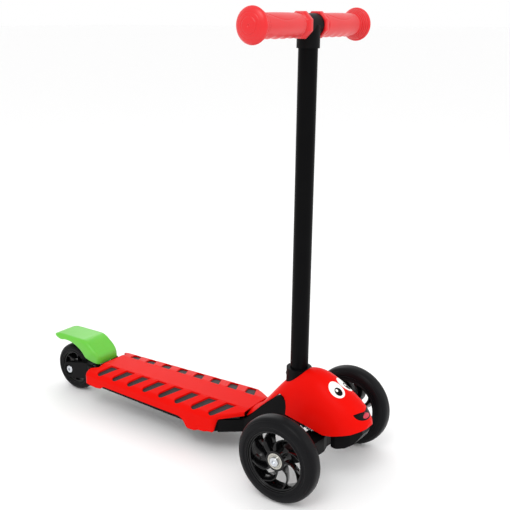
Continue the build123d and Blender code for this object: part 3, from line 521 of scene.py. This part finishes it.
# %% Handle outline and its swells
panel_from, panel_to = 29, 105            # the waisted part of the handle, along x
swell_high, groove_deep = 1.3, 0.45
cap_outline = [(118.0, 18.6, 0.6), (118.6, 20.6, 0.8), (120.6, 21.9, 1.4), (122.6, 21.6, 1.2),
               (125.0, 19.4, 1.6), (126.8, 15.6, 0.6), (126.7, 14.9, 0.2), (127.2, 14.3, 0.4),
               (128.2, 10.8, 0.6), (127.9, 10.2, 0.2), (128.6, 9.4, 0.5), (129.0, 5.0, 1.5),
               (128.9, 2.0, 0.3), (128.2, 1.2, 0.3), (128.1, 0.0)]
handle_outline = [(14.9, 11.2, 0.2), (14.9, 16.0, 0.5), (16.2, 17.2, 0.6), (21.0, 17.2, 0.8),
                  (24.6, 15.4, 0.6), (25.8, 13.2, 0.4), (26.8, 13.0, 0.3), (27.6, 13.9, 0.5)]
handle_outline += [(x, 14.2 + 0.5 * math.sin(math.pi * (x - 29) / 75)) for x in range(panel_from, panel_to)]
handle_outline += [(105.6, 13.9, 0.5), (107.2, 14.6, 0.5), (112.0, 15.2, 0.6), (117.2, 18.0, 0.6)]
grip_outline = eased(handle_outline + cap_outline, 0.4)


def grip_swell(x, r, turn):
    """Octagonal flange, four finger swells underneath, and the fine line round the palm panel."""
    if x < 24.8 and r > 15:
        eighth = (turn + math.pi / 8) % (math.pi / 4) - math.pi / 8
        return r * (math.cos(math.pi / 8) / math.cos(eighth) - 0.97)
    if not panel_from < x < panel_to:
        return 0
    down = math.cos(turn + math.pi / 2)
    swell = 0.0
    if down > 0:
        swell = swell_high * down ** 6 * abs(math.sin(math.pi * (x - 33) / 17)) ** 1.5 * (33 < x < 101)
    # the panel lies on top, and its edge is a shallow groove in the shape of an oval
    along, round_it = (x - 66) / 37, math.atan2(math.cos(turn), math.sin(turn)) / 1.15
    edge = abs(math.hypot(along, round_it) - 1)
    return swell - groove_deep * max(0.0, 1 - (edge / 0.05) ** 2)


# %% A row of shrinking parts, by Geometry Nodes
def row_tree():
    """Count copies of Part, each moved by Step and smaller by Shrink than the one before."""
    tree, given = new_tree("row of shrinking parts", Count="Int", Part="Object", Start="Vector",
                           Step="Vector", Shrink="Float")
    line = node(tree, "GeometryNodeMeshLine", {"mode": "OFFSET"},
                links={"Count": given["Count"], "Start Location": given["Start"], "Offset": given["Step"]})
    number = node(tree, "GeometryNodeInputIndex")
    loss = node(tree, "ShaderNodeMath", {"operation": "MULTIPLY"},
                links={0: number.outputs["Index"], 1: given["Shrink"]})
    size = node(tree, "ShaderNodeMath", {"operation": "SUBTRACT"}, {0: 1.0}, {1: loss.outputs["Value"]})
    copies_on(tree, given, line.outputs["Mesh"], Scale=size.outputs["Value"])
    return tree


row_of_parts = row_tree()
ring_profile = eased([(-1.1, 12.6, 0.2), (-1.1, 19.2, 0.7), (1.1, 19.8, 0.7), (1.1, 12.6, 0.2)], closed=True)
one_ring = piece("one ring", *turned(ring_profile, lambda x, y, z: Vector((x, y, z)) / 1000, 96, True),
                 grip_rubber)

# %% Both grips
for side, name in ((-1, "right"), (1, "left")):
    place = on_bar(side)
    made = piece(name + "_grip_moulding", *turned(grip_outline, place, 144, swell=grip_swell), grip_rubber)
    settle(made, "deck", "grip_rubber", name + "_grip")
    rings = grown(name + "_grip_rings", row_of_parts,
                  {"Count": 4, "Part": one_ring, "Start": place(116.0, 0, 0),
                   "Step": (side * -0.0026, 0, 0), "Shrink": 0.065}, grip_rubber)
    settle(rings, "deck", "grip_rubber")
bpy.data.objects.remove(one_ring)

# %% [markdown]
# ## Tread cover
# The red cover is a shallow tray with a rounded rim and two rows of slots that show the mat
# beneath. It is drawn from above as a grid of points. Each cell that a slot crosses is cut
# exactly along the slot's edge, and a rounded lip is turned down round the cut, as a moulding
# has where the mould's two halves meet. A boolean would leave ragged shading on the lips.

# %% Plan, height and skirt of the cover
band_half, slope_drop, band_z, edge_round = 21.5, 6.5, 71.0, 7.0
cover_front, cover_rear, cover_rear_middle, shoulder_y = 103.8, 407.0, 395.0, 137.0
skirt_line = [(413, 45), (396, 42.5), (383, 41.5), (372, 43), (366, 48), (205, 45.5), (196, 41), (192, 33.5),
              (189, 31), (176, 31), (168, 34.5), (158, 35), (149, 38), (138.5, 38.5), (136.5, 58), (98, 64.5)]


def along_line(line, y):
    """Height of a line of (y, z) points, which run from the back to the front."""
    for (y0, z0), (y1, z1) in zip(line, line[1:]):
        if y >= y1:
            return z0 + (z1 - z0) * min(1.0, (y0 - y) / (y0 - y1))
    return line[-1][1]


def full_half(y):
    """Half width of the tread without its narrow front."""
    return 51.5 + 8.0 * (cover_rear - y) / (cover_rear - shoulder_y)


plan_line = [(cover_rear + 10, 51.5), (cover_rear, 49.5), (401.0, 51.6), (142.0, full_half(142)),
             (138.0, 57.6), (134.0, 53.0), (108.0, 33.6), (104.0, 31.2), (100.0, 31.0)]


def edge_radius(y):
    return edge_round if y > 141 else max(2.2, edge_round - (141 - y) * 0.4)


def plan_half(y):
    return along_line(plan_line, y)


def rear_edge(x):
    """The rear edge steps forward in the middle, to clear the brake."""
    share = min(1.0, max(0.0, (abs(x) - 31.5) / 9.0))
    return cover_rear_middle + (cover_rear - cover_rear_middle) * share * share * (3 - 2 * share)


def tread_height(x, y):
    """Flat band, a fine line beside it, the sloping shoulder, and the start of the round edge."""
    out = abs(x) - band_half
    slope = slope_drop * max(0.0, out) / (full_half(y) - edge_round - band_half)
    radius = edge_radius(y)
    over = min(radius, max(0.0, abs(x) - plan_half(y) + radius))
    return band_z - slope - 0.35 * math.exp(-(out / 0.55) ** 2) - radius + math.sqrt(radius ** 2 - over ** 2)


# %% Slots
slot_count, slot_pitch, first_slot_y = 8, 33.4, 375.5
slot_wide, slot_round, slot_margin, slot_slant = 17.9, 7.0, 4.0, math.radians(24)


def slot_corners(index):
    """A slot from its square inner end to its round outer end, as a convex outline."""
    rear = first_slot_y - slot_pitch * index
    middle = rear - slot_wide / 2
    length = full_half(middle) - slot_margin - band_half
    outer_x, outer_y = band_half + length - slot_round, middle + length * math.sin(slot_slant)
    corners = [(band_half, rear), (band_half, rear - slot_wide)]
    return corners + [(outer_x + slot_round * math.cos(a), outer_y + slot_round * math.sin(a))
                      for a in (math.radians(-62 + 14 * k) for k in range(13))]


slots = [slot_corners(i) for i in range(slot_count)]


def outside_slots(x, y):
    """Distance to the nearest slot, negative inside it."""
    nearest = 50.0
    for corners in slots:
        if not corners[1][1] - 3 < y < corners[0][1] + 30:
            continue
        reach = -50.0
        for (x0, y0), (x1, y1) in zip(corners, corners[1:] + corners[:1]):
            long = math.hypot(x1 - x0, y1 - y0)
            reach = max(reach, ((abs(x) - x0) * (y1 - y0) - (y - y0) * (x1 - x0)) / long)
        nearest = min(nearest, reach)
    return nearest


print("slots", len(slots) * 2, "first corner", slots[0][0])


# %% Cutting a grid along a line
def cut_sheet(grid, distance):
    """Faces of the grid where distance > 0, its points, and the rim edges of the cuts."""
    points, faces, rim, corner, crossing = [], [], {}, {}, {}
    reach = [[distance(*p) for p in row] for row in grid]

    def corner_at(i, j):
        if (i, j) not in corner:
            corner[i, j] = len(points)
            points.append(grid[i][j])
        return corner[i, j]

    def crossing_at(a, b):
        key = (min(a, b), max(a, b))
        if key not in crossing:
            inside, outside = (a, b) if reach[a[0]][a[1]] > 0 else (b, a)
            p, q = Vector(grid[inside[0]][inside[1]]), Vector(grid[outside[0]][outside[1]])
            low, high = 0.0, 1.0
            for _ in range(12):
                middle = (low + high) / 2
                low, high = (middle, high) if distance(*(p + (q - p) * middle)) > 0 else (low, middle)
            crossing[key] = len(points)
            points.append(tuple(p + (q - p) * low))
        return crossing[key]

    for i in range(len(grid) - 1):
        for j in range(len(grid[0]) - 1):
            cell = [(i, j), (i, j + 1), (i + 1, j + 1), (i + 1, j)]
            face, leaving = [], None
            for a, b in zip(cell, cell[1:] + cell[:1]):
                kept, next_kept = reach[a[0]][a[1]] > 0, reach[b[0]][b[1]] > 0
                if kept:
                    face.append(corner_at(*a))
                if kept != next_kept:
                    face.append(crossing_at(a, b))
                    if kept:
                        leaving = face[-1]
            if len(face) > 2:
                faces.append(face)
                if leaving is not None:
                    rim[leaving] = face[(face.index(leaving) + 1) % len(face)]
    return points, faces, rim, corner


# %% The cover's grid
lip, half_way = 0.6, math.sin(math.pi / 4)    # the grid ends half way round the edge
columns = [0, 3, 6, 9, 12, 15, 17.5, 19.5, 20.6, 21.1, 21.5, 21.9, 22.4, 23.0]
columns = [-c for c in reversed(columns[1:])] + columns


def cover_row(share):
    """One row of plan points: the band's columns stay parallel, the shoulders follow the plan."""
    y_nominal = cover_front + share * (cover_rear - 4 - cover_front)
    edge = plan_half(y_nominal) - edge_radius(y_nominal) * (1 - half_way)
    outer = [23 + (edge - 23) * (1 - (1 - k / 32) ** 1.25) for k in range(1, 33)]
    across = [-x for x in reversed(outer)] + columns + outer
    return [(x, cover_front + share * (rear_edge(x) - 2.5 - cover_front)) for x in across]


grid = [cover_row(i / 220) for i in range(221)]
plan_points, faces, rim, corner_of = cut_sheet(grid, lambda x, y: outside_slots(x, y) - lip)
points = [at(x, y, tread_height(x, y)) for x, y in plan_points]
print("cover grid", len(points), "points,", len(rim), "rim edges")

# %% Lips of the slots
levels = [(lip * math.sin(a), lip * (1 - math.cos(a))) for a in (math.pi / 6, math.pi / 3, math.pi / 2)]
levels += [(lip, 1.5), (lip, 2.8)]
last = {p: p for p in rim}
for out, down in levels:
    ring = {}
    for p in rim:
        x, y = plan_points[p]
        away = Vector((outside_slots(x + 0.05, y) - outside_slots(x - 0.05, y),
                       outside_slots(x, y + 0.05) - outside_slots(x, y - 0.05))).normalized()
        ring[p] = len(points)
        points.append(at(x - away.x * out, y - away.y * out, tread_height(x, y) - down))
    faces += [(last[p], last[q], ring[q], ring[p]) for p, q in rim.items()]
    last = ring

# %% Rim, walls and skirt of the cover
wall_thick = 2.3
high, wide = len(grid) - 1, len(grid[0]) - 1
border = [(0, j) for j in range(wide)] + [(i, wide) for i in range(high)]
border += [(high, j) for j in range(wide, 0, -1)] + [(i, 0) for i in range(high, 0, -1)]


def rim_shape(i, j):
    """Where the rim goes: sideways shift, drop of the rounding, lower edge of the wall, and its kind."""
    x, y = grid[i][j]
    side = 1 if j == wide else -1 if j == 0 else 0
    shift = Vector((side * edge_radius(y) * (1 - half_way), 2.5 if i == high else 0))
    low = along_line(skirt_line, y) if side or abs(x) > 42 else 58.0
    drop = edge_radius(y) * half_way if side else 2.5 if i == high else 0.3
    return [shift, drop, low if i else 64.0, abs(side)]


shapes = [rim_shape(i, j) for i, j in border]
for _ in range(2):
    shapes = [[(shapes[k - 1][n] + shapes[k][n] * 2 + shapes[(k + 1) % len(shapes)][n]) / 4 for n in range(4)]
              for k in range(len(shapes))]
rings = [[corner_of[spot] for spot in border]]


def add_ring(place_of, share):
    """One more ring of points round the border, at a share of its stretch."""
    rings.append(list(range(len(points), len(points) + len(border))))
    for (i, j), shape in zip(border, shapes):
        x, y = grid[i][j]
        points.append(at(*place_of(share, x, y, tread_height(x, y), *shape)))


def rounding(share, kind):
    """Sideways and downward share: the last half of the rounding at a side, all of it at an end."""
    full, part = math.pi / 2 * share, math.pi / 4 * (1 + share)
    side_part = ((math.sin(part) - half_way) / (1 - half_way), 1 - math.cos(part) / half_way)
    return [a * (1 - kind) + b * kind for a, b in zip((math.sin(full), 1 - math.cos(full)), side_part)]


def on_rounding(share, x, y, z, shift, drop, low, kind):
    out, down = rounding(share, kind)
    return x + shift.x * out, y + shift.y * out, z - drop * down


def on_wall(share, x, y, z, shift, drop, low, kind):
    return x + shift.x, y + shift.y, (z - drop) * (1 - share) + low * share


def on_hem(rise, x, y, z, shift, drop, low, kind):
    """The inner face of the wall, a wall's thickness in, and up by rise."""
    inwards = -wall_thick if x > 30 else wall_thick if x < -30 else 0
    return x + shift.x + inwards, y + shift.y - (wall_thick if y > 390 else 0), low + rise


for place_of, shares in ((on_rounding, (0.2, 0.4, 0.6, 0.8, 1.0)), (on_wall, (0.1, 0.4, 0.7, 0.95, 1.0)),
                         (on_hem, (0.0, 5.0))):
    for share in shares:
        add_ring(place_of, share)
faces += stitch(rings, True, False)
made = piece("tread_cover", points, faces, red_abs, 40)
settle(made, "deck", "red_abs", "deck_cover")

# %% [markdown]
# ## Foot brake
# The green fender is one moulding hinged at its front. Its side view is two lines, the back of
# the shell and the edge of its cheeks, and every cross-section runs from one to the other with
# a rounded shoulder. The front carries a slightly raised panel for the heel.


# %% A smooth line through points
def smooth_line(line, count):
    """Evenly spaced points on a Catmull-Rom curve through the line's points."""
    fine = []
    ends = [line[0]] + line + [line[-1]]
    for k in range(1, len(ends) - 2):
        p = [Vector(q) for q in ends[k - 1:k + 3]]
        for t in (n / 12 for n in range(12)):
            fine.append(0.5 * (2 * p[1] + (p[2] - p[0]) * t + (2 * p[0] - 5 * p[1] + 4 * p[2] - p[3]) * t ** 2
                               + (3 * p[1] - p[0] - 3 * p[2] + p[3]) * t ** 3))
    fine.append(Vector(line[-1]))
    run = [0.0]
    for a, b in zip(fine, fine[1:]):
        run.append(run[-1] + (b - a).length)
    out, k = [], 0
    for n in range(count):
        want = run[-1] * n / (count - 1)
        while k < len(run) - 2 and run[k + 1] < want:
            k += 1
        part = (want - run[k]) / max(1e-9, run[k + 1] - run[k])
        out.append(fine[k].lerp(fine[k + 1], min(1.0, part)))
    return out


# %% Shell of the fender
panel_half, panel_low, panel_top, panel_high, panel_edge = 16.5, 68.5, 82.5, 0.7, 1.2
tail_y = wheelbase + 41.0
back_line = [(404.2, 66.0), (404.6, 71.0), (405.6, 77.5), (409.6, 83.2), (415.5, 88.2), (422.0, 93.2),
             (429.0, 98.2), (437.0, 101.0), (447.0, 101.5), (tail_y - 26, 101.4), (tail_y - 16, 100.2),
             (tail_y - 8, 97.2), (tail_y - 2.5, 92.8), (tail_y, 88.6)]
wheel_clear = rear_r + 14.0
under_line = [(412.0, 66.4), (418.0, 67.0), (426.0, 69.4)]
under_line += [(wheelbase + wheel_clear * math.cos(a), rear_r + wheel_clear * math.sin(a))
               for a in (math.radians(142 - 9.4 * k) for k in range(8))]
under_line += [(tail_y - 15, 94.4), (tail_y - 8, 91.6), (tail_y - 4, 88.0)]
shell_rows, shoulder_r = 100, 6.0
back, under = smooth_line(back_line, shell_rows), smooth_line(under_line, shell_rows)


def fender_half(y):
    """Plan of the fender: straight sides and a round tail."""
    past = max(0.0, (y - (tail_y - 24)) / 24)
    return 25.0 * math.sqrt(max(0.16, 1 - past ** 2.6 * 0.84)) - 2.0 * max(0.0, (414 - y) / 10)


def inside_panel(length):
    """0 outside the raised panel and 1 inside it, with a slope at its edge."""
    return min(1.0, max(0.0, length / panel_edge))


def fender_row(k):
    """One cross-section: cheek, shoulder, back, shoulder, cheek."""
    half, top, edge = fender_half(back[k].x), back[k], under[k]
    inward = (edge - top).normalized()
    deep = (edge - top).length
    r = min(shoulder_r, deep * 0.8)
    right = [(half, deep * s + r * (1 - s)) for s in (1.0, 0.66, 0.33)]
    right += [(half - r + r * math.cos(a), r - r * math.sin(a))
              for a in (math.pi / 2 * n / 8 for n in range(9))]
    flat = half - r
    across = right + [(flat * (1 - 2 * n / 40), 0.0) for n in range(1, 40)]
    across += [(-x, d) for x, d in reversed(right)]
    row = []
    for x, depth in across:
        panel = 0.0
        if depth == 0.0 and top.y < 84:
            panel = (inside_panel(panel_half - abs(x)) * inside_panel(panel_top - top.y)
                     * inside_panel(top.y - panel_low))
        spot = top + inward * (depth - panel_high * panel)
        row.append(at(x, spot.x, spot.y))
    return row


rows = [fender_row(k) for k in range(shell_rows)]
points = [p for row in rows for p in row]
numbers = [list(range(k * len(rows[0]), (k + 1) * len(rows[0]))) for k in range(len(rows))]
made = piece("brake_fender_shell", points, stitch(numbers, False, False), green_pp, 60)
wall = made.modifiers.new("wall", "SOLIDIFY")
wall.thickness, wall.offset = 0.0032, -1
rim_round = made.modifiers.new("rim", "BEVEL")
rim_round.width, rim_round.segments, rim_round.angle_limit = 0.0007, 2, math.radians(55)
settle(made, "brake", "green_pp", "brake_fender")

# %% [markdown]
# ## Face
# A friendly face is printed on the snout: two oval eyes and an open smile, in a plain design
# of simple ovals. A print has almost no thickness, so each patch is a small fan of points laid
# 0.1 to 0.3 mm proud of the snout's skin, with its border turned down into it.

# %% Laying a patch on the skin
print_white = finish("vinyl print, white", "F7F5F1", "F1EFEA", 0.3, grain_mm=2.0, grain_high=0.01)
print_black = finish("vinyl print, black", "100C0B", "0B0807", 0.34, grain_mm=2.0, grain_high=0.01,
                     specular_ior_level=0.08)
print_rose = finish("vinyl print, rose", "C8203C", "B91933", 0.32, grain_mm=2.0, grain_high=0.01)
snout_mesh = frame["nodes"]["head_cover"].data
skin = BVHTree.FromPolygons([v.co for v in snout_mesh.vertices], [f.vertices for f in snout_mesh.polygons])


def patch(name, centre, slant, outline, lift, made_of, slot, steps=8):
    """A printed patch: outline is (across, up) in millimetres round a centre on the skin."""
    start, facing, _, _ = skin.ray_cast(at(*centre), at(*slant) - at(0, 0, 0))
    up = Vector((0, 0.55, 1.0))
    up = (up - facing * up.dot(facing)).normalized()
    across = up.cross(facing)
    rows = []
    for k in range(steps + 2):
        share = min(k, steps) / steps
        above = lift if k <= steps else -0.4
        row = []
        for u, v in outline:
            ray = start + across * (u * share / 1000) + up * (v * share / 1000) + facing * 0.015
            hit, normal, _, _ = skin.ray_cast(ray, -facing)
            row.append(hit + normal * (above / 1000))
            if k == 0:
                break
        rows.append(row * len(outline) if k == 0 else row)
    points = [rows[0][0]] + [p for row in rows[1:] for p in row]
    numbers = [[0] * len(outline)] + [[1 + k * len(outline) + n for n in range(len(outline))]
                                      for k in range(len(rows) - 1)]
    made = piece(name, points, stitch(numbers, True, False), made_of, 60)
    settle(made, "deck", slot)


def oval(wide, tall, middle=(0, 0), count=48):
    """The outline of an oval, from its half width and half height."""
    turns = [math.tau * k / count for k in range(count)]
    return [(middle[0] + wide * math.cos(a), middle[1] + tall * math.sin(a)) for a in turns]


# %% Eyes and smile
into_skin = (0, 0.62, -0.78)
for side, name in ((-1, "right"), (1, "left")):
    eye = (side * 10.4, -76, 186)
    patch(name + "_eye_white", eye, into_skin, oval(9.8, 13.6), 0.10, print_white, "acetal")
    patch(name + "_eye_pupil", eye, into_skin, oval(5.0, 6.6, (0, -3.8)), 0.2, print_black, "black_nylon")
    patch(name + "_eye_glint", eye, into_skin, oval(1.7, 2.2, (-1.2, -1.2), 20), 0.3, print_white, "acetal")
mouth, smile_half, lip_drop, jaw_drop, corner_up = (0, -118, 166), 18.0, 4.0, 15.0, 4.5
arc = [math.pi * k / 24 for k in range(25)]
smile = [(smile_half * math.cos(a), corner_up - lip_drop * math.sin(a)) for a in arc]
smile += [(-smile_half * math.cos(a), corner_up - jaw_drop * math.sin(a) ** 0.8) for a in arc[1:-1]]
patch("smile", mouth, into_skin, smile, 0.10, print_black, "black_nylon")
patch("smile_tongue", mouth, into_skin, oval(7.6, 3.2, (0, -5.6), 32), 0.2, print_rose, "grip_rubber")
